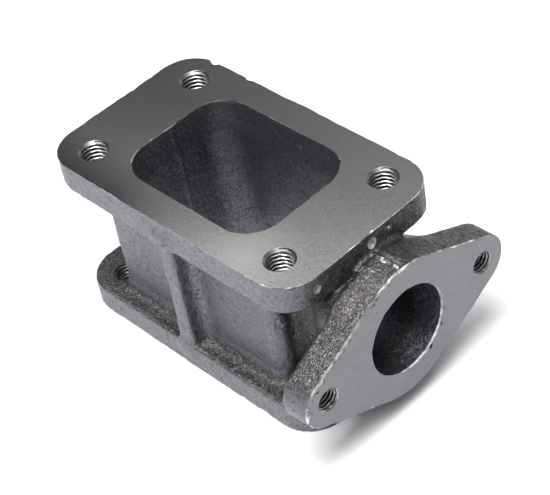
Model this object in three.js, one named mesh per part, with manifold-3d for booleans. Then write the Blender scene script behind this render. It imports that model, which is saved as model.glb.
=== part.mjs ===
// Turbo flange riser: a grey-iron casting that stands between an exhaust manifold and a turbocharger,
// with a side branch that ends in a two-bolt wastegate flange.
//
// The part stands on its manifold flange. +Z runs up the main passage to the turbo flange,
// +X runs out along the wastegate bore, and the origin is the middle of the footprint's bounding box.
// Each named mesh is one region of the casting: a flange, a wall of the duct, a rib or the branch.
import * as THREE from "three";
import { mergeVertices } from "three/addons/utils/BufferGeometryUtils.js";
import Module from "manifold-3d";

const wasm = await Module();
wasm.setup();

// Driving dimensions, in millimetres and degrees.
const height = 64;
const boltSpacingX = 86;
const boltSpacingY = 45;
const turboFlangeEdge = 14; // from a bolt's axis to the turbo flange's end
const turboFlangeSideEdge = 11.3; // from a bolt's axis to the turbo flange's long side
const manifoldFlangeEdge = 13.1;
const manifoldFlangeSideEdge = 10.8;
const flangeCorner = 13;
const turboFlangeThickness = 10.8;
const manifoldFlangeThickness = 9.6;
const turboTapDrill = 8.5; // for M10 x 1.5 threads
const turboTapMouth = 11.2;
const wastegateTapDrill = 6.8; // for M8 x 1.25 threads
const wastegateTapMouth = 8.8;

const mouthLength = 62;
const mouthWidth = 46;
const mouthCorner = 12;
const throatInset = 1.7; // how far the passage draws in, on each side, through the turbo flange

const ductEndWall = 9.3;
const ductSideWall = 4.7;
const ductCorner = 2;

const ribThickness = 6.5;
const ribOffset = -0.5; // from the passage's axis, along X
const ribFoot = 1.2; // how much wider a rib is where it meets the flanges, on each side

const wastegateBore = 15.4;
const wastegateBoltSpacing = 70;
const wastegateTurn = 1.7; // the bolt line's turn about the bore
const wastegateEar = 9.7;
const wastegateOverlap = 3.6; // how far the round middle of its flange rises past the duct's ends
const wastegateThickness = 10.3;
const wastegateReach = 69.5; // from the passage's axis to the wastegate face
const wastegateOffset = 0.9; // from half way up the duct to the bore's axis
const branchStep = 3.8; // how far the branch's sides stand in from the duct's
const branchCorner = 10;
const bridgeWidth = 14;
const bridgeDrop = 1.2; // below the top of the wastegate flange

// How finely round outlines are divided.
const cornerSteps = 10;
const boreSteps = 48;
const tapSteps = 28;
const cutPast = 5; // how far a cutting tool runs past the face that it opens

// Worked out from the driving dimensions.
const turboFlangeLength = boltSpacingX + 2 * turboFlangeEdge;
const turboFlangeWidth = boltSpacingY + 2 * turboFlangeSideEdge;
const manifoldFlangeLength = boltSpacingX + 2 * manifoldFlangeEdge;
const manifoldFlangeWidth = boltSpacingY + 2 * manifoldFlangeSideEdge;
const turboFlangeUnderside = height - turboFlangeThickness;
const throatLength = mouthLength - 2 * throatInset;
const throatWidth = mouthWidth - 2 * throatInset;
const throatCorner = mouthCorner - throatInset;
const ductLength = throatLength + 2 * ductEndWall;
const ductWidth = throatWidth + 2 * ductSideWall;
const ductHeight = turboFlangeUnderside - manifoldFlangeThickness;
const sideWallInner = throatWidth / 2; // where the side walls begin, on either side of the XZ plane
const wastegateRise = manifoldFlangeThickness + ductHeight / 2 + wastegateOffset;
const wastegateHub = ductHeight / 2 + wastegateOverlap;
const wastegateBack = wastegateReach - wastegateThickness;
const branchWidth = ductWidth - 2 * branchStep;
const branchStart = ductLength / 2;
const closedEndReach = Math.max(turboFlangeLength, manifoldFlangeLength) / 2;
const axisOffset = (closedEndReach - wastegateReach) / 2; // where the passage's axis stands on X

const castIron = {
  machined: { color: 0x9c9892, roughness: 0.42, metalness: 0.75 },
  rough: { color: 0x5b5a5c, roughness: 0.8, metalness: 0.45 },
};

// Turns a closed three.js geometry into a manifold-3d solid.
function solid(geometry) {
  const bare = geometry.index ? geometry.toNonIndexed() : geometry.clone();
  bare.deleteAttribute("normal");
  bare.deleteAttribute("uv");
  const merged = mergeVertices(bare, 1e-4);
  return new wasm.Manifold(
    new wasm.Mesh({
      numProp: 3,
      vertProperties: merged.attributes.position.array,
      triVerts: new Uint32Array(merged.index.array),
    }),
  );
}

// Turns a manifold-3d solid back into a three.js geometry.
function geometryOf(body) {
  const mesh = body.getMesh();
  const stride = mesh.numProp;
  const positions = new Float32Array(mesh.numVert * 3);
  for (let i = 0; i < mesh.numVert; i++) {
    positions.set(mesh.vertProperties.subarray(i * stride, i * stride + 3), i * 3);
  }
  const geometry = new THREE.BufferGeometry();
  geometry.setAttribute("position", new THREE.BufferAttribute(positions, 3));
  geometry.setIndex(new THREE.BufferAttribute(mesh.triVerts, 1));
  geometry.computeVertexNormals();
  return geometry;
}

// A rectangle's outline with round corners, as points that run counterclockwise round its centre.
function roundedOutline(length, width, corner) {
  const points = [];
  const middles = [
    [length / 2 - corner, width / 2 - corner],
    [corner - length / 2, width / 2 - corner],
    [corner - length / 2, corner - width / 2],
    [length / 2 - corner, corner - width / 2],
  ];
  middles.forEach(([x, y], quarter) => {
    for (let step = 0; step <= cornerSteps; step++) {
      const angle = ((quarter + step / cornerSteps) * Math.PI) / 2;
      points.push(new THREE.Vector2(x + corner * Math.cos(angle), y + corner * Math.sin(angle)));
    }
  });
  return points;
}

// The closed surface between two outlines with as many points each, at two heights.
function loftGeometry(lower, upper, bottom, top) {
  const count = lower.length;
  const positions = [];
  lower.forEach((p) => positions.push(p.x, p.y, bottom));
  upper.forEach((p) => positions.push(p.x, p.y, top));
  const index = [];
  for (let i = 0; i < count; i++) {
    const next = (i + 1) % count;
    index.push(i, next, count + next, i, count + next, count + i);
  }
  THREE.ShapeUtils.triangulateShape(lower, []).forEach(([a, b, c]) => {
    index.push(a, c, b);
    index.push(count + a, count + b, count + c);
  });
  const geometry = new THREE.BufferGeometry();
  geometry.setAttribute("position", new THREE.Float32BufferAttribute(positions, 3));
  geometry.setIndex(index);
  return geometry;
}

function loft(lower, upper, bottom, top) {
  return solid(loftGeometry(lower, upper, bottom, top));
}

// An upright slab with the given outline.
function slab(outline, bottom, top) {
  return loft(outline, outline, bottom, top);
}

function box(low, high) {
  const size = new THREE.Vector3().subVectors(high, low);
  const geometry = new THREE.BoxGeometry(size.x, size.y, size.z);
  geometry.translate((low.x + high.x) / 2, (low.y + high.y) / 2, (low.z + high.z) / 2);
  return solid(geometry);
}

// A tapped hole's drilled bore with a cone at its mouth, along +Z: the mouth is at the top.
function tapCutter(drill, mouth, bottom, top) {
  const chamfer = (mouth - drill) / 2;
  const profile = [
    new THREE.Vector2(0, bottom),
    new THREE.Vector2(drill / 2, bottom),
    new THREE.Vector2(drill / 2, top - chamfer),
    new THREE.Vector2(mouth / 2 + cutPast, top + cutPast),
    new THREE.Vector2(0, top + cutPast),
  ];
  const geometry = new THREE.LatheGeometry(profile, tapSteps);
  geometry.rotateX(Math.PI / 2);
  return geometry;
}

function boltCorners() {
  const corners = [];
  for (const x of [-boltSpacingX / 2, boltSpacingX / 2]) {
    for (const y of [-boltSpacingY / 2, boltSpacingY / 2]) {
      corners.push([x, y]);
    }
  }
  return corners;
}

// The main passage, a little longer than the part is high.
function passageCutter() {
  const throat = roundedOutline(throatLength, throatWidth, throatCorner);
  const mouth = roundedOutline(mouthLength, mouthWidth, mouthCorner);
  return slab(throat, -cutPast, turboFlangeUnderside)
    .add(loft(throat, mouth, turboFlangeUnderside, height))
    .add(slab(mouth, height, height + cutPast));
}

const passage = passageCutter();

// The wastegate bore, from the passage's axis out past the wastegate face.
function wastegateBoreCutter() {
  const geometry = new THREE.CylinderGeometry(
    wastegateBore,
    wastegateBore,
    wastegateReach + cutPast,
    boreSteps,
  );
  geometry.rotateZ(Math.PI / 2);
  geometry.translate((wastegateReach + cutPast) / 2, 0, wastegateRise);
  return solid(geometry);
}

const wastegatePassage = wastegateBoreCutter();

function turboFlange() {
  const outline = roundedOutline(turboFlangeLength, turboFlangeWidth, flangeCorner);
  let body = slab(outline, turboFlangeUnderside, height).subtract(passage);
  for (const [x, y] of boltCorners()) {
    const cutter = tapCutter(turboTapDrill, turboTapMouth, turboFlangeUnderside - cutPast, height);
    cutter.translate(x, y, 0);
    body = body.subtract(solid(cutter));
  }
  return body;
}

// The manifold flange is tapped from below, so its chamfers are on the bottom face.
function manifoldFlange() {
  const outline = roundedOutline(manifoldFlangeLength, manifoldFlangeWidth, flangeCorner);
  let body = slab(outline, 0, manifoldFlangeThickness).subtract(passage);
  for (const [x, y] of boltCorners()) {
    const cutter = tapCutter(turboTapDrill, turboTapMouth, -manifoldFlangeThickness - cutPast, 0);
    cutter.rotateX(Math.PI);
    cutter.translate(x, y, 0);
    body = body.subtract(solid(cutter));
  }
  return body;
}

// One of the duct's long walls, with the duct's outer corners. side is -1 at the front and 1 at the rear.
function sideWall(side) {
  const pastEnd = ductLength / 2 + cutPast;
  const pastSide = ductWidth / 2 + cutPast;
  const near = Math.min(side * sideWallInner, side * pastSide);
  const far = Math.max(side * sideWallInner, side * pastSide);
  const outline = roundedOutline(ductLength, ductWidth, ductCorner);
  return slab(outline, manifoldFlangeThickness, turboFlangeUnderside).intersect(
    box(new THREE.Vector3(-pastEnd, near, 0), new THREE.Vector3(pastEnd, far, height)),
  );
}

// One of the duct's end walls, with the passage's round corners on its inner side.
// side is -1 at the closed end and 1 at the branch.
function endWall(side) {
  const outer = ductLength / 2;
  const cornerX = throatLength / 2 - throatCorner;
  const cornerY = throatWidth / 2 - throatCorner;
  const outline = [
    new THREE.Vector2(outer, -sideWallInner),
    new THREE.Vector2(outer, sideWallInner),
  ];
  for (const half of [1, -1]) {
    for (let step = 0; step <= cornerSteps; step++) {
      const turned = half > 0 ? 1 - step / cornerSteps : -step / cornerSteps;
      const angle = (turned * Math.PI) / 2;
      outline.push(
        new THREE.Vector2(
          cornerX + throatCorner * Math.cos(angle),
          half * cornerY + throatCorner * Math.sin(angle),
        ),
      );
    }
  }
  const placed = side > 0 ? outline : outline.map((p) => new THREE.Vector2(-p.x, p.y)).reverse();
  const wall = slab(placed, manifoldFlangeThickness, turboFlangeUnderside);
  return side > 0 ? wall.subtract(wastegatePassage) : wall;
}

// A web from the duct's side out to the narrower flange's long edge. side is -1 at the front and 1 at the rear.
function rib(side) {
  const inner = ductWidth / 2;
  const outer = Math.min(turboFlangeWidth, manifoldFlangeWidth) / 2;
  const half = ribThickness / 2;
  const rise = Math.min(2 * ribFoot, ductHeight / 2);
  const outline = [
    new THREE.Vector2(-half - ribFoot, manifoldFlangeThickness),
    new THREE.Vector2(half + ribFoot, manifoldFlangeThickness),
    new THREE.Vector2(half, manifoldFlangeThickness + rise),
    new THREE.Vector2(half, turboFlangeUnderside - rise),
    new THREE.Vector2(half + ribFoot, turboFlangeUnderside),
    new THREE.Vector2(-half - ribFoot, turboFlangeUnderside),
    new THREE.Vector2(-half, turboFlangeUnderside - rise),
    new THREE.Vector2(-half, manifoldFlangeThickness + rise),
  ];
  const geometry = new THREE.ExtrudeGeometry(new THREE.Shape(outline), {
    depth: outer - inner,
    bevelEnabled: false,
  });
  geometry.rotateX(Math.PI / 2);
  geometry.translate(ribOffset, side > 0 ? outer : -inner, 0);
  return solid(geometry);
}

// The wastegate flange's outline: a round hub and two ears, joined by their common tangents.
function wastegateOutline() {
  const reach = wastegateBoltSpacing / 2;
  const tangent = Math.asin((wastegateHub - wastegateEar) / reach);
  const points = [];
  const arc = (centre, radius, from, to, steps) => {
    for (let step = 0; step <= steps; step++) {
      const angle = from + ((to - from) * step) / steps;
      points.push(
        new THREE.Vector2(centre + radius * Math.cos(angle), radius * Math.sin(angle)),
      );
    }
  };
  const meets = Math.PI / 2 - tangent;
  arc(reach, wastegateEar, -meets, meets, 2 * cornerSteps);
  arc(0, wastegateHub, meets, Math.PI - meets, 2 * cornerSteps);
  arc(-reach, wastegateEar, Math.PI - meets, Math.PI + meets, 2 * cornerSteps);
  arc(0, wastegateHub, Math.PI + meets, 2 * Math.PI - meets, 2 * cornerSteps);
  return points;
}

// Stands a shape that is drawn flat, with its outer face up, at the end of the branch.
function standAtWastegate(geometry) {
  geometry.rotateZ(THREE.MathUtils.degToRad(wastegateTurn));
  geometry.rotateZ(Math.PI / 2);
  geometry.rotateY(Math.PI / 2);
  geometry.translate(wastegateReach, 0, wastegateRise);
  return geometry;
}

function wastegateFlange() {
  const plate = new THREE.ExtrudeGeometry(new THREE.Shape(wastegateOutline()), {
    depth: wastegateThickness,
    bevelEnabled: false,
    curveSegments: 1,
  });
  plate.translate(0, 0, -wastegateThickness);
  let body = solid(standAtWastegate(plate)).subtract(wastegatePassage);
  for (const side of [-1, 1]) {
    const cutter = tapCutter(
      wastegateTapDrill,
      wastegateTapMouth,
      -wastegateThickness - cutPast,
      0,
    );
    cutter.translate((side * wastegateBoltSpacing) / 2, 0, 0);
    body = body.subtract(solid(standAtWastegate(cutter)));
  }
  return body;
}

// The branch is a block with round edges about the wastegate bore, as tall as the duct.
function wastegateBranch() {
  const outline = roundedOutline(ductHeight, branchWidth, branchCorner);
  const geometry = loftGeometry(outline, outline, branchStart, wastegateBack);
  geometry.rotateY(Math.PI / 2);
  geometry.translate(0, 0, manifoldFlangeThickness + ductHeight / 2);
  return solid(geometry).subtract(wastegatePassage);
}

// The metal that joins the turbo flange's end to the back of the wastegate flange.
function bridge() {
  const top = wastegateRise + wastegateHub - bridgeDrop;
  return box(
    new THREE.Vector3(turboFlangeLength / 2, -bridgeWidth / 2, turboFlangeUnderside),
    new THREE.Vector3(wastegateBack, bridgeWidth / 2, top),
  );
}

const part = new THREE.Group();
const aboutPassage = new THREE.Group();
aboutPassage.position.x = axisOffset;
part.add(aboutPassage);

function addRegion(name, body, look) {
  const mesh = new THREE.Mesh(geometryOf(body), new THREE.MeshStandardMaterial(look));
  mesh.name = name;
  aboutPassage.add(mesh);
}

addRegion("turbo_flange", turboFlange(), castIron.machined);
addRegion("manifold_flange", manifoldFlange(), castIron.machined);
addRegion("duct_front_wall", sideWall(-1), castIron.rough);
addRegion("duct_rear_wall", sideWall(1), castIron.rough);
addRegion("duct_closed_end_wall", endWall(-1), castIron.rough);
addRegion("duct_branch_end_wall", endWall(1), castIron.rough);
addRegion("front_rib", rib(-1), castIron.rough);
addRegion("rear_rib", rib(1), castIron.rough);
addRegion("wastegate_branch", wastegateBranch(), castIron.rough);
addRegion("wastegate_flange", wastegateFlange(), castIron.machined);
addRegion("flange_bridge", bridge(), castIron.rough);

export default part;
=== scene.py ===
"""Looks for the turbo flange riser: one sand casting, then its machining, cut into the frame's nodes.

The casting is a distance field on a grid, meshed once, roughened, planed, drilled and tapped as a whole,
so its skin runs unbroken over every joint. It is then divided into one closed piece for each CAD node.
Shapes are worked out in millimetres, with X counted from the main passage's axis. Pieces are in metres.
"""
import math

import bpy
import numpy as np
import openvdb
from mathutils import Matrix, Vector


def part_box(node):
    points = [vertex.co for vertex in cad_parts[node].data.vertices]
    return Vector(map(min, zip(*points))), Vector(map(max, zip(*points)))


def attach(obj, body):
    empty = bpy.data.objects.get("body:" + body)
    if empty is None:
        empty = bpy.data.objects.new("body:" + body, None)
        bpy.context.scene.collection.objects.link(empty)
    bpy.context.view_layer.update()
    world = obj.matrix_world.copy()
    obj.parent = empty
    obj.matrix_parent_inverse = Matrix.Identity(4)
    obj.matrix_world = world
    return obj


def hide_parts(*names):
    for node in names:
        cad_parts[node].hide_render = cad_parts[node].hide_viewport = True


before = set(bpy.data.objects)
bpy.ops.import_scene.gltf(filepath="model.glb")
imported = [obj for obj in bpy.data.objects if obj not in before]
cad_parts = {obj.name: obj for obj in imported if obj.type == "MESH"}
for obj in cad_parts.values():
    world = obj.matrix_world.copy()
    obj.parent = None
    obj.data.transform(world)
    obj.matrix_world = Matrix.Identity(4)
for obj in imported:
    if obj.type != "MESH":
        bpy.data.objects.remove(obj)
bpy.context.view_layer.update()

# ---------------------------------------------------------------- sizes taken from the frame
MM = 0.001


def node_box(name):
    """A CAD node's lowest and highest corners in millimetres, with X from the passage's axis."""
    low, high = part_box(name)
    return [np.array([c[0] / MM - AXIS_X, c[1] / MM, c[2] / MM]) for c in (low, high)]


flange_low, flange_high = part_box("turbo_flange")
AXIS_X = (flange_low[0] + flange_high[0]) / 2 / MM

turbo_low, turbo_high = node_box("turbo_flange")
manifold_low, manifold_high = node_box("manifold_flange")
front_low, front_high = node_box("duct_front_wall")
closed_low, closed_high = node_box("duct_closed_end_wall")
branch_low, branch_high = node_box("wastegate_branch")
wastegate_low, wastegate_high = node_box("wastegate_flange")
rib_low, rib_high = node_box("front_rib")

TOP = turbo_high[2]
UNDERSIDE = turbo_low[2]
FOOT = manifold_high[2]
HALF_LENGTH = turbo_high[0]
HALF_WIDTH = turbo_high[1]
MANIFOLD_HALF_LENGTH = manifold_high[0]
MANIFOLD_HALF_WIDTH = manifold_high[1]
DUCT_HALF_LENGTH = front_high[0]
DUCT_HALF_WIDTH = -front_low[1]
THROAT_HALF_WIDTH = closed_high[1]
FACE_X = wastegate_high[0]
BACK_X = wastegate_low[0]
BORE_Z = (wastegate_low[2] + wastegate_high[2]) / 2
HUB = (wastegate_high[2] - wastegate_low[2]) / 2
RIB_X = (rib_low[0] + rib_high[0]) / 2
RIB_FOOT_HALF = (rib_high[0] - rib_low[0]) / 2
RIB_OUTER = -rib_low[1]

# ---------------------------------------------------------------- sizes that a box can't tell
CORNER = 13.0
BOLT_X, BOLT_Y = 43.0, 22.5
MOUTH_HALF_LENGTH, MOUTH_HALF_WIDTH, MOUTH_CORNER = 31.0, 23.0, 12.0
THROAT_INSET = MOUTH_HALF_WIDTH - THROAT_HALF_WIDTH
DUCT_CORNER, DUCT_BRANCH_CORNER = 2.0, 5.5  # at the closed end, and at the branch
RIB_HALF, RIB_INNER = 3.25, 24.0
BORE = 15.4
BRANCH_CORNER = 10.0
NECK_INSET, NECK_LENGTH = 4.0, 9.0  # how far the branch draws in on each side by the duct, over what length
EAR = 9.7
EAR_OUT = 35.0
TURN = math.radians(1.7)

# Edge radii, concave fillets, and the run of one region into the next, which hides its end.
TURBO_EDGE, MANIFOLD_EDGE, PLATE_EDGE, RIB_EDGE, PORT_EDGE, KNOCK_EDGE = 1.1, 1.3, 1.2, 1.3, 0.8, 0.4
FLANGE_FILLET, RIB_FILLET, PLATE_FILLET, LUMP_FILLET, BORE_FILLET = 5.0, 4.2, 2.8, 1.8, 2.5
GAP_FILLET, NECK_FILLET = 1.1, 1.9  # of the arm in the gap, and what is added to that by the duct
OVERLAP, BRANCH_OVERLAP, HIDDEN_EDGE = 4, 6, 0.5

# The lump that bridges the gap from the turbo flange to the wastegate flange's hub.
LUMP_HALF_LENGTH, LUMP_HALF_WIDTH, LUMP_Y, LUMP_INSET, LUMP_DEPTH = 4.0, 10.5, 3.5, 0.7, 3

FLASH_Y, FLASH_HEIGHT, FLASH_WIDTH, FLASH_GROOVE = 0.4, 0.75, 0.5, 0.8  # parting flash over the hub
SEAM_Y, SEAM_HEIGHT, SEAM_WIDTH = 0.5, 0.3, 1.0  # the core's seam down the passage's closed end

M10 = {"minor": 8.4, "major": 10.0, "pitch": 1.5, "mouth": 10.5}
M8 = {"minor": 6.7, "major": 8.0, "pitch": 1.25, "mouth": 8.4}
KNOCKS = [(-44.5, 34.4, TOP, 2.1), (-27.7, 34.7, TOP, 1.6)]  # dents in the rear edge: x, y, z and radius
GROUND_SPOTS = [(-22.0, TOP - 4.6, 2.6), (1.8, TOP - 3.9, 2.7), (9.5, TOP - 3.2, 0.8)]  # y, z and radius
SPOT_DEPTH, LENS = 0.5, 1.4  # how deep they go, and half the thickness of the lens that cuts them
CHIPPED_SIDE = (0.0, -0.8, 0.6)  # the wastegate flange's long edge that is knocked worst faces this way

# Tones fitted to the photo. They are in the colour and fixed to the object, whatever the lights do.
# These tones are painted light and shade: the skin is painted lighter where it faces down or to a long side,
# and darker where it faces up or to an end. A crust where shot blasting missed is guessed to cause part of
# it.
BLASTED_AND_LIT_SIDE, BLASTED_AND_LIT_FLANK = (0.1, 0.0, -0.75), 0.65
# The middle of a painted highlight on the turbo face.
PAINTED_HIGHLIGHT_CENTRE = (0.0260, -0.0268, TOP * MM)  # its middle on the turbo face, in metres

GRID = 0.45
ALLOWANCE = 1.5  # iron above a face that is machined off
MARGIN = 2.0  # between the casting and the grid's bounds
REACH = 300.0  # further than any part of the casting
PLANE_CELLS = 24  # the planing box has this many cells along each side

# Layers of relief in the skin: height, size of its features, and seed.
WAVES, RIPPLES, GRAIN = (0.16, 15.0, 1), (0.07, 4.2, 2), (0.08, 1.5, 3)
PITS = (0.9, 2.2, 4)
PIT_SHARE = 0.6  # only noise above this makes a pit
SKIN_INSET = 0.1  # holds the relief inside the CAD outline

# How far a machined edge is broken: evenly, unevenly, in chips, and on the chipped side.
EDGE_BREAK, EDGE_WAVES, EDGE_CHIPS = 0.22, (0.2, 5.0, 5), (1.6, 2.6, 6)
CHIP_SHARE = 0.5
SIDE_BREAK, SIDE_CHIPS = 1.7, (1.1, 1.7, 7)

SHARP_ANGLE = math.radians(40)
CORE_DEPTH = 0.7  # faces this close to the port's or the bore's surface have the core's skin

# Bright iron on the hub: on the flash across its top, and in chips along its back edge.
FLASH_HALF, FLASH_RUN, HUB_TOP, FLASH_NOISE, FLASH_SHARE = 1.1, 2, 2.2, (1.3, 9), 0.1
CHIP_IN, CHIP_HALF, CHIP_Y, CHIP_RISE, CHIP_NOISE, CHIP_LEVEL = 0.5, 0.4, (-15, -5), 14, (1.9, 10), 0.2
FINISHES = [
    "cast_skin", "core_skin", "ground_face", "milled_face", "cut_thread", "shaded_thread_root", "broken_edge",
]


# ---------------------------------------------------------------- noise
def lattice_noise(points, size, seed):
    """Smooth noise from -1 to 1 with features of about the given size, the same on every run."""
    cells = 61  # before the pattern repeats
    table = np.random.default_rng(seed).uniform(-1, 1, (cells, cells, cells)).astype(np.float32)
    scaled = points / size + 1000.0
    base = np.floor(scaled).astype(np.int64)
    part = (scaled - base).astype(np.float32)
    part = part * part * part * (part * (part * 6 - 15) + 10)
    total = np.zeros(len(points), np.float32)
    for dx in (0, 1):
        for dy in (0, 1):
            for dz in (0, 1):
                corner = (base + (dx, dy, dz)) % cells
                share = (
                    (part[:, 0] if dx else 1 - part[:, 0])
                    * (part[:, 1] if dy else 1 - part[:, 1])
                    * (part[:, 2] if dz else 1 - part[:, 2])
                )
                total += share * table[corner[:, 0], corner[:, 1], corner[:, 2]]
    return total


def layer(points, height, size, seed):
    return height * lattice_noise(points, size, seed)


# ---------------------------------------------------------------- distance fields
def rounded_rectangle(u, v, half_u, half_v, corner):
    a = np.abs(u) - (half_u - corner)
    b = np.abs(v) - (half_v - corner)
    outside = np.hypot(np.maximum(a, 0), np.maximum(b, 0))
    return outside + np.minimum(np.maximum(a, b), 0) - corner


def two_circles(u, v, radius, end_radius, reach):
    """The outline round a circle at the origin and a smaller one at u = reach."""
    v = np.abs(v)
    lean = (radius - end_radius) / reach
    rise = math.sqrt(1 - lean * lean)
    along = u * rise - v * lean
    flank = u * lean + v * rise - radius
    return np.where(
        along < 0,
        np.hypot(u, v) - radius,
        np.where(along > rise * reach, np.hypot(u - reach, v) - end_radius, flank),
    )


def extruded(outline, w, low, high, edge):
    """A flat outline's distance, given a thickness along w, with its edges rounded off."""
    a = outline + edge
    b = np.abs(w - (low + high) / 2) - (high - low) / 2 + edge
    outside = np.hypot(np.maximum(a, 0), np.maximum(b, 0))
    return outside + np.minimum(np.maximum(a, b), 0) - edge


def joined(a, b, fillet):
    """The union of two solids with a concave fillet between them."""
    blend = np.clip(0.5 + 0.5 * (b - a) / fillet, 0, 1)
    return b + (a - b) * blend - fillet * blend * (1 - blend)


def cut(a, b, edge):
    """a without b, with the edge between them rounded off."""
    return -joined(-a, b, edge)


def grid_axes():
    """The grid's first point, and its lines along X, Y and Z."""
    low = np.array([-HALF_LENGTH - MARGIN, wastegate_low[1] - MARGIN, -MARGIN - ALLOWANCE])
    high = np.array([FACE_X + MARGIN + ALLOWANCE, wastegate_high[1] + MARGIN, TOP + MARGIN + ALLOWANCE])
    # The turbo and wastegate faces lie on grid planes, which keeps the rows beside them even.
    start = np.array([FACE_X, 0.0, TOP])
    start = start - np.ceil((start - low) / GRID) * GRID
    counts = np.ceil((high - start) / GRID).astype(int)
    axes = [(start[i] + GRID * np.arange(counts[i])).astype(np.float32) for i in range(3)]
    return start, axes[0][:, None, None], axes[1][None, :, None], axes[2][None, None, :]


def ridge(across, width):
    """A bump from 0 to 1 along the line where across is 0."""
    return np.exp(-((across / width) ** 2))


def casting_field(x, y, z):
    """Distance to the rough casting: negative inside the iron."""
    flange = rounded_rectangle(x, y, HALF_LENGTH, HALF_WIDTH, CORNER)
    turbo = extruded(flange, z, UNDERSIDE, TOP + ALLOWANCE, TURBO_EDGE)
    flange = rounded_rectangle(x, y, MANIFOLD_HALF_LENGTH, MANIFOLD_HALF_WIDTH, CORNER)
    manifold = extruded(flange, z, -ALLOWANCE, FOOT, MANIFOLD_EDGE)
    duct_corner = np.where(x > 0, DUCT_BRANCH_CORNER, DUCT_CORNER)
    duct = extruded(
        rounded_rectangle(x, y, DUCT_HALF_LENGTH, DUCT_HALF_WIDTH, duct_corner),
        z, FOOT - OVERLAP, UNDERSIDE + OVERLAP, HIDDEN_EDGE,
    )
    body = joined(duct, np.minimum(turbo, manifold), FLANGE_FILLET)

    rib_depth = RIB_OUTER - RIB_INNER
    rib = extruded(
        rounded_rectangle(x - RIB_X, np.abs(y) - RIB_INNER, RIB_HALF, rib_depth, RIB_EDGE),
        z, FOOT - OVERLAP, UNDERSIDE + OVERLAP, HIDDEN_EDGE,
    )
    body = joined(body, rib, RIB_FILLET)

    middle = (branch_low[2] + branch_high[2]) / 2
    neck = NECK_INSET * np.clip((BACK_X - 2 - x) / NECK_LENGTH, 0, 1)
    branch = extruded(
        rounded_rectangle(z - middle, y, middle - branch_low[2], branch_high[1] - neck, BRANCH_CORNER),
        x, DUCT_HALF_LENGTH - BRANCH_OVERLAP, BACK_X + OVERLAP, HIDDEN_EDGE,
    )

    along = y * math.cos(TURN) + (z - BORE_Z) * math.sin(TURN)
    across = (z - BORE_Z) * math.cos(TURN) - y * math.sin(TURN)
    outline = two_circles(np.abs(along), across, HUB, EAR, EAR_OUT)
    groove = FLASH_GROOVE * ridge(y - FLASH_Y - 1.3, FLASH_WIDTH)
    flash = ridge(y - FLASH_Y, FLASH_WIDTH) - groove
    flash = flash * (z > BORE_Z) * (x < FACE_X - 0.6)
    plate = extruded(outline, x, BACK_X, FACE_X + ALLOWANCE, PLATE_EDGE) - FLASH_HEIGHT * flash
    arm = joined(branch, plate, PLATE_FILLET)
    away = np.clip((BACK_X - 4 - x) / 12, 0, 1)  # 0 in the gap beside the turbo flange, 1 by the duct
    body = joined(body, arm, GAP_FILLET + NECK_FILLET * away)

    gap = (HALF_LENGTH + BACK_X) / 2
    lump = np.maximum(np.hypot(y, z - BORE_Z) - (HUB - LUMP_INSET), np.abs(x - gap) - LUMP_HALF_LENGTH)
    lump = np.maximum(lump, np.maximum(np.abs(y - LUMP_Y) - LUMP_HALF_WIDTH, UNDERSIDE - LUMP_DEPTH - z))
    body = joined(body, lump, LUMP_FILLET)
    for knock_x, knock_y, knock_z, size in KNOCKS:
        knock = np.sqrt((x - knock_x) ** 2 + (y - knock_y) ** 2 + (z - knock_z) ** 2) - size
        body = cut(body, knock, KNOCK_EDGE)

    drawn_in = THROAT_INSET * np.clip((TOP - z) / (TOP - UNDERSIDE), 0, 1)
    passage = rounded_rectangle(
        x, y, MOUTH_HALF_LENGTH - drawn_in, MOUTH_HALF_WIDTH - drawn_in, MOUTH_CORNER - drawn_in
    )
    passage = passage + SEAM_HEIGHT * ridge(y - SEAM_Y, SEAM_WIDTH) * (x < 0)
    bore = np.maximum(np.hypot(y, z - BORE_Z) - BORE, -x)
    return cut(body, joined(passage, bore, BORE_FILLET), PORT_EDGE)


# ---------------------------------------------------------------- meshes
def mesh_object(name, solids):
    """One object from solids. Each is its points, its faces and their finishes.

    A boolean hands a tool's finish on to the faces that the tool cuts.
    """
    points, faces, finishes = [], [], []
    for solid_points, solid_faces, solid_finishes in solids:
        start = len(points)
        points.extend(((np.asarray(solid_points, float) + (AXIS_X, 0, 0)) * MM).tolist())
        faces.extend([[start + int(i) for i in face] for face in solid_faces])
        finishes.extend(solid_finishes)
    mesh = bpy.data.meshes.new(name)
    mesh.from_pydata(points, [], faces)
    for finish in FINISHES:
        mesh.materials.append(looks[finish])
    mesh.polygons.foreach_set("material_index", [FINISHES.index(finish) for finish in finishes])
    mesh.update()
    thing = bpy.data.objects.new(name, mesh)
    bpy.context.scene.collection.objects.link(thing)
    return thing


def boolean(target, operation, *solids):
    """Cuts solids out of target's mesh, or keeps only what lies in them."""
    tool = mesh_object("tool", solids)
    modifier = target.modifiers.new("cut", "BOOLEAN")
    modifier.operation = operation
    modifier.object = tool
    modifier.solver = "MANIFOLD"
    graph = bpy.context.evaluated_depsgraph_get()
    result = bpy.data.meshes.new_from_object(target.evaluated_get(graph))
    target.modifiers.clear()
    old = target.data
    target.data = result
    bpy.data.meshes.remove(old)
    bpy.data.objects.remove(tool)


def box(low, high, sides=("cast_skin",) * 6, cells=1):
    """A box with a finish for each side: both across X, then Y, then Z.

    Small cells keep the flat faces that it cuts small, so that none is drawn as long slivers.
    """
    low, high = np.array(low, float), np.array(high, float)
    index, faces, finishes = {}, [], []
    for axis in range(3):
        for side in (0, cells):
            for a in range(cells):
                for b in range(cells):
                    face = []
                    for u, v in ((a, b), (a + 1, b), (a + 1, b + 1), (a, b + 1)):
                        place = [0, 0, 0]
                        place[axis], place[(axis + 1) % 3], place[(axis + 2) % 3] = side, u, v
                        face.append(index.setdefault(tuple(place), len(index)))
                    faces.append(face if side else face[::-1])
                    finishes.append(sides[2 * axis + (side > 0)])
    points = low + (high - low) * np.array(list(index)) / cells
    return points, faces, finishes


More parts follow.
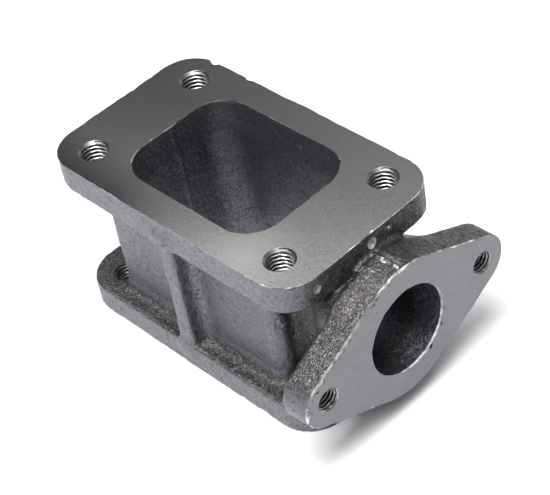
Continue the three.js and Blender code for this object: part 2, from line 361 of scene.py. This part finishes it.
def tube_faces(rows, around):
    """Faces of a closed surface whose points are rows of around points, then a bottom and a top centre."""
    faces = []
    for row in range(rows - 1):
        low, high = row * around, (row + 1) * around
        for i in range(around):
            j = (i + 1) % around
            faces.append((low + i, low + j, high + j, high + i))
    top = (rows - 1) * around
    for i in range(around):
        j = (i + 1) % around
        faces.append((rows * around, j, i))
        faces.append((rows * around + 1, top + i, top + j))
    return faces


def lens(centre, radii, finish):
    """An ellipsoid."""
    around, rows = 48, 23
    rise, turn = np.meshgrid(
        np.linspace(-math.pi / 2, math.pi / 2, rows + 2)[1:-1],
        np.arange(around) * 2 * math.pi / around, indexing="ij",
    )
    shell = np.stack([np.cos(rise) * np.cos(turn), np.cos(rise) * np.sin(turn), np.sin(rise)], -1)
    points = np.vstack([shell.reshape(-1, 3), (0, 0, -1), (0, 0, 1)]) * radii + centre
    faces = tube_faces(rows, around)
    return points, faces, [finish] * len(faces)


def tap(size, depth, place):
    """A tap and its countersink. It points to -Z from its mouth at the origin, then place moves it."""
    around, over = 72, 1.2
    rows_per_turn = 9
    rows = int((depth + over) / size["pitch"] * rows_per_turn)
    drop, turn = np.meshgrid(
        np.linspace(-depth, over, rows), np.arange(around) * 2 * math.pi / around, indexing="ij"
    )
    # A flat root, sloping flanks and a flat crest: 0 at the crest and 1 in the root.
    phase = (drop / size["pitch"] - turn / (2 * math.pi)) % 1
    flank = np.clip((0.375 - np.abs(phase - 0.5)) / 0.3125, 0, 1)
    radius = size["minor"] / 2 + (size["major"] - size["minor"]) / 2 * flank
    countersink = size["mouth"] / 2 + drop
    flank = np.where(countersink > radius, 0, flank)
    radius = np.maximum(radius, countersink)
    points = np.stack([radius * np.cos(turn), radius * np.sin(turn), drop], -1).reshape(-1, 3)
    points = np.vstack([points, (0, 0, -depth), (0, 0, over)])
    faces = tube_faces(rows, around)
    # Faces deep in the root take the root finish, whose dark colour is painted shade.
    in_root = ((flank[:-1] + flank[1:]) / 2 > 0.45).ravel()
    finishes = ["shaded_thread_root" if deep else "cut_thread" for deep in in_root]
    return place(points), faces, finishes + ["cut_thread"] * (len(faces) - len(finishes))


def cast():
    """The casting as it leaves the sand, with its machining allowance."""
    start, x, y, z = grid_axes()
    volume = openvdb.FloatGrid(background=GRID * 4)
    volume.copyFromArray(np.ascontiguousarray(casting_field(x, y, z), dtype=np.float32))
    points, _, quads = volume.convertToPolygons(0.0, 0.0)
    points = points.astype(np.float64) * GRID + start
    return mesh_object("casting", [(points, quads, ["cast_skin"] * len(quads))])


def vertex_arrays(mesh):
    """The vertices in millimetres, with X from the passage's axis, and their normals."""
    points = np.empty(len(mesh.vertices) * 3, np.float32)
    normals = np.empty_like(points)
    mesh.vertices.foreach_get("co", points)
    mesh.vertex_normals.foreach_get("vector", normals)
    return points.reshape(-1, 3) / MM - (AXIS_X, 0, 0), normals.reshape(-1, 3)


def roughen(thing):
    """Gives the skin its waves, grain and pits, and breaks the edges of the faces that are machined."""
    spot, normals = vertex_arrays(thing.data)
    rise = layer(spot, *WAVES) - SKIN_INSET
    rise += layer(spot, *RIPPLES)
    rise += layer(spot, *GRAIN)
    rise -= PITS[0] * np.clip(lattice_noise(spot, *PITS[1:]) - PIT_SHARE, 0, 1)

    # The rows just above a face that is machined lean inwards, which leaves a small uneven bevel.
    above = (spot[:, 2] > TOP) | (spot[:, 2] < 0) | (spot[:, 0] > FACE_X)
    worn = EDGE_BREAK + layer(spot, *EDGE_WAVES)
    worn += EDGE_CHIPS[0] * np.clip(lattice_noise(spot, *EDGE_CHIPS[1:]) - CHIP_SHARE, 0, 1)
    chipped = (spot[:, 0] > FACE_X) * np.clip(normals @ np.array(CHIPPED_SIDE, np.float32), 0, 1)
    worn += chipped * (SIDE_BREAK + layer(spot, *SIDE_CHIPS))
    rise -= np.where(above, worn, 0)
    spot = spot + normals * rise[:, None]
    thing.data.vertices.foreach_set("co", ((spot + (AXIS_X, 0, 0)) * MM).astype(np.float32).ravel())
    thing.data.update()


def taps():
    """One for each hole, running on past the flange's far side."""
    past = 2
    made = []
    for x in (-BOLT_X, BOLT_X):
        for y in (-BOLT_Y, BOLT_Y):
            made.append(tap(M10, TOP - UNDERSIDE + past, lambda p: p + (x, y, TOP)))
            made.append(tap(M10, FOOT + past, lambda p: p * (1, -1, -1) + (x, y, 0)))
    for side in (-1, 1):
        y, z = side * EAR_OUT * math.cos(TURN), side * EAR_OUT * math.sin(TURN) + BORE_Z
        made.append(tap(M8, FACE_X - BACK_X + past, lambda p: p[:, [2, 0, 1]] + (FACE_X, y, z)))
    return made


def machine(thing):
    """Planes the faces, trims the skin to the CAD box, spot-grinds the end, then taps the holes."""
    low = (-HALF_LENGTH, wastegate_low[1], 0.0)
    high = (FACE_X, wastegate_high[1], TOP)
    sides = ["cast_skin", "milled_face", "cast_skin", "cast_skin", "ground_face", "ground_face"]
    boolean(thing, "INTERSECT", box(low, high, sides, PLANE_CELLS))
    spots = [
        lens((HALF_LENGTH - SPOT_DEPTH + LENS, y, z), (LENS, radius, radius), "broken_edge")
        for y, z, radius in GROUND_SPOTS
    ]
    boolean(thing, "DIFFERENCE", *spots)
    boolean(thing, "DIFFERENCE", *taps())


# ---------------------------------------------------------------- pieces
def zones():
    """The part of space that each node's piece takes from the casting, and what is left out of it."""
    far = REACH
    rib_left, rib_right = RIB_X - RIB_FOOT_HALF, RIB_X + RIB_FOOT_HALF
    front_rib = ((rib_left, -far, FOOT), (rib_right, -DUCT_HALF_WIDTH, UNDERSIDE))
    rear_rib = ((rib_left, DUCT_HALF_WIDTH, FOOT), (rib_right, far, UNDERSIDE))
    duct_end, wall = DUCT_HALF_LENGTH, THROAT_HALF_WIDTH
    return {
        "turbo_flange": (((-far, -far, UNDERSIDE), (HALF_LENGTH, far, far)), None),
        "flange_bridge": (((HALF_LENGTH, -far, UNDERSIDE), (BACK_X, far, far)), None),
        "manifold_flange": (((-far, -far, -far), (BACK_X, far, FOOT)), None),
        "wastegate_flange": (((BACK_X, -far, -far), (far, far, far)), None),
        "wastegate_branch": (((duct_end, -far, FOOT), (BACK_X, far, UNDERSIDE)), None),
        "duct_closed_end_wall": (((-far, -wall, FOOT), (0, wall, UNDERSIDE)), None),
        "duct_branch_end_wall": (((0, -wall, FOOT), (duct_end, wall, UNDERSIDE)), None),
        "front_rib": (front_rib, None),
        "rear_rib": (rear_rib, None),
        "duct_front_wall": (((-far, -far, FOOT), (duct_end, -wall, UNDERSIDE)), front_rib),
        "duct_rear_wall": (((-far, wall, FOOT), (duct_end, far, UNDERSIDE)), rear_rib),
    }


def paint(mesh):
    """Finds the skin's core-made faces, broken edges, flash and chips, and sets the shading."""
    count = len(mesh.polygons)
    centre = np.empty(count * 3, np.float32)
    mesh.polygons.foreach_get("center", centre)
    centre = centre.reshape(-1, 3) / MM - (AXIS_X, 0, 0)
    x, y, z = centre.T
    finish = np.empty(count, np.int32)
    mesh.polygons.foreach_get("material_index", finish)
    near = GRID * 0.5
    edge = (z > TOP - near) | (z < near) | (x > FACE_X - near)
    skin = finish == FINISHES.index("cast_skin")
    mouth = rounded_rectangle(x, y, MOUTH_HALF_LENGTH, MOUTH_HALF_WIDTH, MOUTH_CORNER)
    bore = np.where(x > 0, np.hypot(y, z - BORE_Z) - BORE, REACH)
    finish[skin & (np.minimum(mouth, bore) < CORE_DEPTH)] = FINISHES.index("core_skin")
    flash = (np.abs(y - FLASH_Y) < FLASH_HALF) & (x > BACK_X - FLASH_RUN) & (z > BORE_Z + HUB - HUB_TOP)
    flash &= lattice_noise(centre, *FLASH_NOISE) > FLASH_SHARE
    chips = (np.abs(x - BACK_X - CHIP_IN) < CHIP_HALF) & (z > BORE_Z + CHIP_RISE)
    chips &= (y > CHIP_Y[0]) & (y < CHIP_Y[1]) & (lattice_noise(centre, *CHIP_NOISE) > CHIP_LEVEL)
    finish[skin & (edge | flash | chips)] = FINISHES.index("broken_edge")
    mesh.polygons.foreach_set("material_index", finish)
    mesh.set_sharp_from_angle(angle=SHARP_ANGLE)
    planed = (finish == FINISHES.index("ground_face")) | (finish == FINISHES.index("milled_face"))
    mesh.polygons.foreach_set("use_smooth", ~planed)
    mesh.update()


def divide(casting):
    """Cuts the casting into one closed piece for each node."""
    for name, (zone, left_out) in zones().items():
        piece = casting.copy()
        piece.data = casting.data.copy()
        piece.name = name + "_casting"
        bpy.context.scene.collection.objects.link(piece)
        boolean(piece, "INTERSECT", box(*zone))
        if left_out:
            boolean(piece, "DIFFERENCE", box(*left_out))
        piece.data.name = piece.name
        paint(piece.data)
        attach(piece, "root")
        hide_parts(name)
    bpy.data.objects.remove(casting)


# ---------------------------------------------------------------- materials
class Look:
    """A procedural material as it is built. Patterns lie in the row frame, so they cross the pieces."""

    def __init__(self, name):
        self.material = bpy.data.materials.new(name)
        self.material.use_nodes = True
        self.tree = self.material.node_tree
        self.surface = self.tree.nodes["Principled BSDF"]
        self.place = self.node("ShaderNodeTexCoord").outputs["Object"]

    def node(self, kind, inputs=(), **settings):
        made = self.tree.nodes.new(kind)
        for key, value in settings.items():
            setattr(made, key, value)
        for key, value in dict(inputs).items():
            self.feed(made.inputs[key], value)
        return made

    def feed(self, socket, value):
        if isinstance(value, bpy.types.NodeSocket):
            self.tree.links.new(value, socket)
        else:
            socket.default_value = value

    def noise(self, size, detail=2.0, roughness=0.5, stretch=(1, 1, 1), turn=0.0):
        """Noise from 0 to 1 with features of that size in millimetres, drawn out by stretch."""
        scale = [1 / (size * MM * s) for s in stretch]
        mapped = self.node("ShaderNodeMapping", {"Vector": self.turned(turn), "Scale": scale})
        return self.node(
            "ShaderNodeTexNoise",
            {"Vector": mapped.outputs[0], "Scale": 1.0, "Detail": detail, "Roughness": roughness},
        ).outputs["Fac"]

    def turned(self, turn):
        if not turn:
            return self.place
        return self.node("ShaderNodeMapping", {"Vector": self.place, "Rotation": (0, 0, turn)}).outputs[0]

    def spread(self, value, low, high, to_low, to_high):
        """value, where low to high becomes to_low to to_high."""
        return self.node(
            "ShaderNodeMapRange",
            {"Value": value, "From Min": low, "From Max": high, "To Min": to_low, "To Max": to_high},
        ).outputs[0]

    def fade(self, place, low, high, to_low, to_high):
        """The same for a place along an axis, with low and high in millimetres."""
        return self.spread(place, low * MM, high * MM, to_low, to_high)

    def math(self, operation, a, b):
        return self.node("ShaderNodeMath", {0: a, 1: b}, operation=operation).outputs[0]

    def mix(self, share, a, b):
        return self.node("ShaderNodeMix", {0: share, 6: a, 7: b}, data_type="RGBA").outputs[2]

    def bump(self, height, distance, strength, under=None):
        """Relief of the given depth in millimetres, on top of the relief under it."""
        inputs = {"Height": height, "Distance": distance * MM, "Strength": strength}
        if under is not None:
            inputs["Normal"] = under
        return self.node("ShaderNodeBump", inputs).outputs[0]

    def finish(self, **sockets):
        for name, value in sockets.items():
            self.feed(self.surface.inputs[name.replace("_", " ")], value)
        return self.material


def colour(red, green, blue):
    return (red, green, blue, 1.0)


def sand_skin(name, blasted_and_lit_low, blasted_and_lit_high, crust_and_shade_low, crust_and_shade_high, least_crust_and_shade):
    """Sand-cast iron: fused grit, pits, bright grains, and a dark tone that is partly crust where it is
    taken as unblasted and partly painted shade.
    """
    look = Look(name)
    grit = look.noise(0.36, 3.0, 0.7)
    grains = look.noise(0.9, 2.0, 0.6)
    blotch = look.noise(8.0, 3.0, 0.6)
    pits = look.spread(look.noise(1.25, 2.0, 0.5), 0.63, 0.70, 0.0, 0.85)
    tone = look.math("ADD", look.math("MULTIPLY", grit, 0.6), look.math("MULTIPLY", grains, 0.4))
    tone = look.spread(tone, 0.36, 0.64, 0.0, 1.0)
    base = look.mix(tone, colour(*blasted_and_lit_low), colour(*blasted_and_lit_high))
    crust_and_shade = look.mix(look.math("POWER", tone, 2.0), colour(*crust_and_shade_low), colour(*crust_and_shade_high))
    # Painted light and shade: the dark tone's share is set by which way a face points, plus a random blotch,
    # the front side and the recess.
    normal = look.node("ShaderNodeNewGeometry").outputs["Normal"]
    facing = look.node("ShaderNodeVectorMath", {0: normal, 1: BLASTED_AND_LIT_SIDE}, operation="DOT_PRODUCT")
    flank = look.math("ABSOLUTE", look.node("ShaderNodeSeparateXYZ", {0: normal}).outputs["Y"], 0.0)
    facing = look.math("ADD", facing.outputs["Value"], look.math("MULTIPLY", flank, BLASTED_AND_LIT_FLANK))
    facing = look.math("ADD", facing, look.spread(blotch, 0.3, 0.7, -0.12, 0.12))
    x, y = look.node("ShaderNodeSeparateXYZ", {0: look.place}).outputs[:2]
    # Painted light: faces near the front long side are made lighter.
    facing = look.math("ADD", facing, look.fade(y, -HALF_WIDTH, -0.5 * HALF_WIDTH, 0.3, 0.0))
    # Painted shade: the recess between the duct's end and the wastegate flange is dark in the photo, so it
    # gets the dark tone.
    duct_end, flange_back = AXIS_X + DUCT_HALF_LENGTH, AXIS_X + BACK_X
    painted_recess_shade = look.fade(x, duct_end - 1, duct_end + 1, 0.0, 0.6)
    painted_recess_shade = look.math("MULTIPLY", painted_recess_shade, look.fade(x, flange_back - 9, flange_back, 1.0, 0.0))
    inward = look.fade(y, -(DUCT_HALF_WIDTH + 0.5), -(DUCT_HALF_WIDTH - 1), 0.0, 1.0)
    painted_recess_shade = look.math("MULTIPLY", painted_recess_shade, inward)
    facing = look.math("SUBTRACT", facing, painted_recess_shade)
    # Share of the crust and painted shade tone: least where a face is most lit.
    crust_and_shade_share = look.spread(facing, 0.1, 0.5, 1.0, least_crust_and_shade)
    base = look.mix(crust_and_shade_share, base, crust_and_shade)
    sparkle = look.spread(look.noise(0.36, 2.0, 0.6), 0.62, 0.70, 0.0, 1.0)
    sparkle = look.math("MULTIPLY", sparkle, look.spread(crust_and_shade_share, 0.0, 1.0, 0.3, 0.7))
    bright_grain, pit_floor = colour(0.50, 0.49, 0.48), colour(0.02, 0.019, 0.02)
    base = look.mix(sparkle, base, bright_grain)
    base = look.mix(pits, base, pit_floor)
    relief = look.bump(blotch, 0.5, 0.25)
    relief = look.bump(grains, 0.32, 0.9, relief)
    relief = look.bump(grit, 0.16, 1.0, relief)
    rough = look.spread(tone, 0.0, 1.0, 0.48, 0.32)
    metal = look.spread(pits, 0.0, 1.0, 0.88, 0.3)
    return look.finish(Base_Color=base, Roughness=rough, Metallic=metal, Normal=relief)


def cast_skin():
    """The outside of the casting."""
    blasted_and_lit = (0.118, 0.115, 0.130), (0.240, 0.235, 0.262)
    crust_and_shade = (0.030, 0.028, 0.028), (0.18, 0.171, 0.168)
    return sand_skin("cast_skin", *blasted_and_lit, *crust_and_shade, 0.0)


def core_skin():
    """The passages: even their lightest-facing faces keep some of the crust and painted shade tone, as if
    hardly touched by the shot.
    """
    blasted_and_lit = (0.115, 0.11, 0.13), (0.25, 0.245, 0.28)
    crust_and_shade = (0.038, 0.036, 0.043), (0.17, 0.165, 0.185)
    return sand_skin("core_skin", *blasted_and_lit, *crust_and_shade, 0.3)


def ground_face():
    """A ground face: fine scratches three ways, and specks where grains tore out.

    Its lighter rear and bright patch are painted reflections, and its dark front left is painted shade; they
    follow the photo, because the lights don't give them.
    """
    look = Look("ground_face")
    lines = []
    for turn, size in ((0.3, 0.11), (1.35, 0.14), (2.4, 0.12)):
        lines.append(look.noise(size, 1.0, 0.5, (12, 1, 1), turn))
    weave = look.math("ADD", look.math("ADD", lines[0], lines[1]), lines[2])
    weave = look.spread(weave, 1.0, 2.0, 0.0, 1.0)
    grain = look.noise(0.34, 3.0, 0.7)
    cloud = look.noise(16.0, 2.0, 0.5)
    tone = look.math("ADD", look.math("MULTIPLY", weave, 0.5), look.math("MULTIPLY", grain, 0.5))
    tone = look.spread(tone, 0.3, 0.7, 0.0, 1.0)
    base = look.mix(tone, colour(0.30, 0.288, 0.284), colour(0.62, 0.597, 0.588))
    clouded, torn_grain = colour(0.42, 0.402, 0.397), colour(0.20, 0.19, 0.188)
    painted_rear_reflection, painted_highlight_tone = colour(0.75, 0.722, 0.712), colour(0.95, 0.915, 0.90)
    painted_front_shade = colour(0.13, 0.125, 0.125)
    base = look.mix(look.spread(cloud, 0.35, 0.7, 0.0, 0.35), base, clouded)
    torn = look.spread(look.noise(0.7, 1.0, 0.5), 0.70, 0.76, 0.0, 1.0)
    base = look.mix(torn, base, torn_grain)
    x, y = look.node("ShaderNodeSeparateXYZ", {0: look.place}).outputs[:2]
    # Painted reflection: the rear of the face is made lighter.
    base = look.mix(look.fade(y, 0.4 * HALF_WIDTH, HALF_WIDTH, 0.0, 0.4), base, painted_rear_reflection)
    # Painted shade: a dark band along the front edge at the closed end.
    front = look.fade(y, -(HALF_WIDTH - 1), -(HALF_WIDTH - 17), 0.9, 0.0)
    at_closed_end = look.fade(x, -0.45 * HALF_LENGTH, 0.05 * HALF_LENGTH, 1.0, 0.0)
    base = look.mix(look.math("MULTIPLY", front, at_closed_end), base, painted_front_shade)
    # Painted highlight: a bright patch round its middle on the turbo face.
    away = look.node("ShaderNodeVectorMath", {0: look.place, 1: PAINTED_HIGHLIGHT_CENTRE}, operation="DISTANCE")
    base = look.mix(look.fade(away.outputs["Value"], 2, 20, 0.42, 0.0), base, painted_highlight_tone)
    relief = look.bump(weave, 0.008, 0.5)
    relief = look.bump(grain, 0.008, 0.5, relief)
    rough = look.spread(tone, 0.0, 1.0, 0.23, 0.15)
    return look.finish(Base_Color=base, Roughness=rough, Metallic=1.0, Normal=relief)


def milled_face():
    """The wastegate face: a duller cut with a fine mottle."""
    look = Look("milled_face")
    grain = look.noise(0.45, 3.0, 0.7)
    cloud = look.noise(9.0, 2.0, 0.5)
    streak = look.noise(0.3, 1.0, 0.5, (1, 14, 1))
    tone = look.math("ADD", look.math("MULTIPLY", grain, 0.65), look.math("MULTIPLY", streak, 0.35))
    tone = look.spread(tone, 0.32, 0.68, 0.0, 1.0)
    base = look.mix(tone, colour(0.15, 0.148, 0.157), colour(0.225, 0.222, 0.234))
    base = look.mix(look.spread(cloud, 0.4, 0.7, 0.0, 0.4), base, colour(0.165, 0.162, 0.171))
    relief = look.bump(streak, 0.02, 0.4)
    relief = look.bump(grain, 0.04, 0.5, relief)
    rough = look.spread(tone, 0.0, 1.0, 0.48, 0.38)
    return look.finish(Base_Color=base, Roughness=rough, Metallic=0.95, Normal=relief)


def thread(name, low, high, roughness):
    """Clean iron from the tap; for the root between two crests, a darker tone that is painted shade and oily
    dirt.
    """
    look = Look(name)
    grain = look.noise(0.3, 2.0, 0.6)
    dirt = look.spread(look.noise(1.8, 2.0, 0.6), 0.45, 0.70, 0.0, 0.4)
    base = look.mix(grain, colour(*low), colour(*high))
    oily_dirt = colour(0.05, 0.047, 0.045)
    base = look.mix(dirt, base, oily_dirt)
    relief = look.bump(grain, 0.02, 0.4)
    rough = look.spread(dirt, 0.0, 0.4, roughness, roughness + 0.15)
    return look.finish(Base_Color=base, Roughness=rough, Metallic=0.95, Normal=relief)


def cut_thread():
    return thread("cut_thread", (0.25, 0.244, 0.239), (0.40, 0.39, 0.38), 0.3)


# The thread's root: its dark colour is painted shade and oily dirt.
def shaded_thread_root():
    return thread("shaded_thread_root", (0.03, 0.028, 0.027), (0.07, 0.067, 0.065), 0.5)


def broken_edge():
    """Bright iron where an edge has been filed or knocked, duller in places."""
    look = Look("broken_edge")
    grain = look.noise(0.4, 2.0, 0.6)
    worn = look.spread(look.noise(2.6, 2.0, 0.6), 0.38, 0.62, 0.0, 1.0)
    worn = look.math("MULTIPLY", worn, look.spread(look.noise(22.0, 1.0, 0.5), 0.42, 0.56, 0.25, 1.0))
    base = look.mix(worn, colour(0.16, 0.155, 0.152), colour(0.72, 0.71, 0.70))
    relief = look.bump(grain, 0.06, 0.6)
    rough = look.spread(grain, 0.3, 0.7, 0.5, 0.32)
    return look.finish(Base_Color=base, Roughness=rough, Metallic=0.75, Normal=relief)


# ---------------------------------------------------------------- studio
TARGET = Vector((31.95, -19.7, 64.0)) * MM  # what the camera looks at
AZIMUTH, ELEVATION, ROLL = math.radians(52.68), math.radians(42.04), math.radians(11.1)
DISTANCE = 0.5071
FOCAL_LENGTH, SENSOR_WIDTH, CLIP_START = 112.04, 36.0, 0.01

KEY = {"azimuth": 30, "elevation": 75, "distance": 1.4, "size": 0.75, "power": 30}

# The dome's brightness at each height in degrees.
SKY = [(0, 0.8), (6, 0.8), (15, 0.05), (40, 0.05), (46, 1.6), (53, 2.0), (64, 1.5), (75, 0.6), (90, 0.6)]
SKY_STRENGTH = 2.0
SKY_TINT = (0.98, 0.98, 1.0)
SKY_TOP = Vector((-0.084, -0.110, 0.990))  # the dome leans towards the front left

FLOOR_HALF, FLOOR_DROP = 3.0, -0.0002
PAPER, PAPER_ROUGHNESS = (0.72, 0.72, 0.73, 1), 0.9


def towards(azimuth, elevation):
    """The unit vector from the object to a place seen at that azimuth and elevation."""
    return Vector((
        math.sin(azimuth) * math.cos(elevation),
        -math.cos(azimuth) * math.cos(elevation),
        math.sin(elevation),
    ))


def add_camera():
    data = bpy.data.cameras.new("camera")
    data.lens = FOCAL_LENGTH
    data.sensor_width = SENSOR_WIDTH
    data.clip_start = CLIP_START
    camera = bpy.data.objects.new("camera", data)
    back = towards(AZIMUTH, ELEVATION)
    level = Vector((math.cos(AZIMUTH), math.sin(AZIMUTH), 0))
    right = Matrix.Rotation(ROLL, 3, -back) @ level
    turn = Matrix((right, back.cross(right), back)).transposed()
    camera.matrix_world = Matrix.Translation(TARGET + back * DISTANCE) @ turn.to_4x4()
    bpy.context.scene.collection.objects.link(camera)
    bpy.context.scene.camera = camera


def softbox(name, azimuth, elevation, distance, size, power):
    data = bpy.data.lights.new(name, "AREA")
    data.shape = "RECTANGLE"
    data.size = data.size_y = size
    data.energy = power
    light = bpy.data.objects.new(name, data)
    light.location = towards(math.radians(azimuth), math.radians(elevation)) * distance
    light.rotation_euler = (-light.location).to_track_quat("-Z", "Y").to_euler()
    bpy.context.scene.collection.objects.link(light)


def light_tent():
    """A bright, leaning dome overhead, dark walls, and a pale band at the horizon where the floor ends."""
    world = bpy.data.worlds.new("studio")
    world.use_nodes = True
    nodes, links = world.node_tree.nodes, world.node_tree.links
    where = nodes.new("ShaderNodeTexCoord")
    rise = nodes.new("ShaderNodeVectorMath")
    rise.operation = "DOT_PRODUCT"
    rise.inputs[1].default_value = SKY_TOP
    ramp = nodes.new("ShaderNodeValToRGB")
    links.new(where.outputs["Generated"], rise.inputs[0])
    links.new(rise.outputs["Value"], ramp.inputs["Fac"])
    links.new(ramp.outputs["Color"], nodes["Background"].inputs["Color"])
    elements = ramp.color_ramp.elements
    while len(elements) < len(SKY):
        elements.new(0.5)
    for element, (degrees, brightness) in zip(elements, SKY):
        element.position = math.sin(math.radians(degrees))
        element.color = colour(*(brightness / SKY_STRENGTH * tint for tint in SKY_TINT))
    nodes["Background"].inputs["Strength"].default_value = SKY_STRENGTH
    bpy.context.scene.world = world


def studio():
    softbox("key_softbox", **KEY)
    light_tent()
    bpy.context.scene.view_settings.view_transform = "Standard"

    corners = [(x * FLOOR_HALF, y * FLOOR_HALF, FLOOR_DROP) for x, y in ((-1, -1), (1, -1), (1, 1), (-1, 1))]
    mesh = bpy.data.meshes.new("floor")
    mesh.from_pydata(corners, [], [(0, 1, 2, 3)])
    floor = bpy.data.objects.new("floor", mesh)
    bpy.context.scene.collection.objects.link(floor)
    paper = bpy.data.materials.new("paper")
    paper.use_nodes = True
    surface = paper.node_tree.nodes["Principled BSDF"]
    surface.inputs["Base Color"].default_value = PAPER
    surface.inputs["Roughness"].default_value = PAPER_ROUGHNESS
    mesh.materials.append(paper)


add_camera()
studio()
looks = {
    "cast_skin": cast_skin(),
    "core_skin": core_skin(),
    "ground_face": ground_face(),
    "milled_face": milled_face(),
    "cut_thread": cut_thread(),
    "shaded_thread_root": shaded_thread_root(),
    "broken_edge": broken_edge(),
}
casting = cast()
roughen(casting)
machine(casting)
divide(casting)
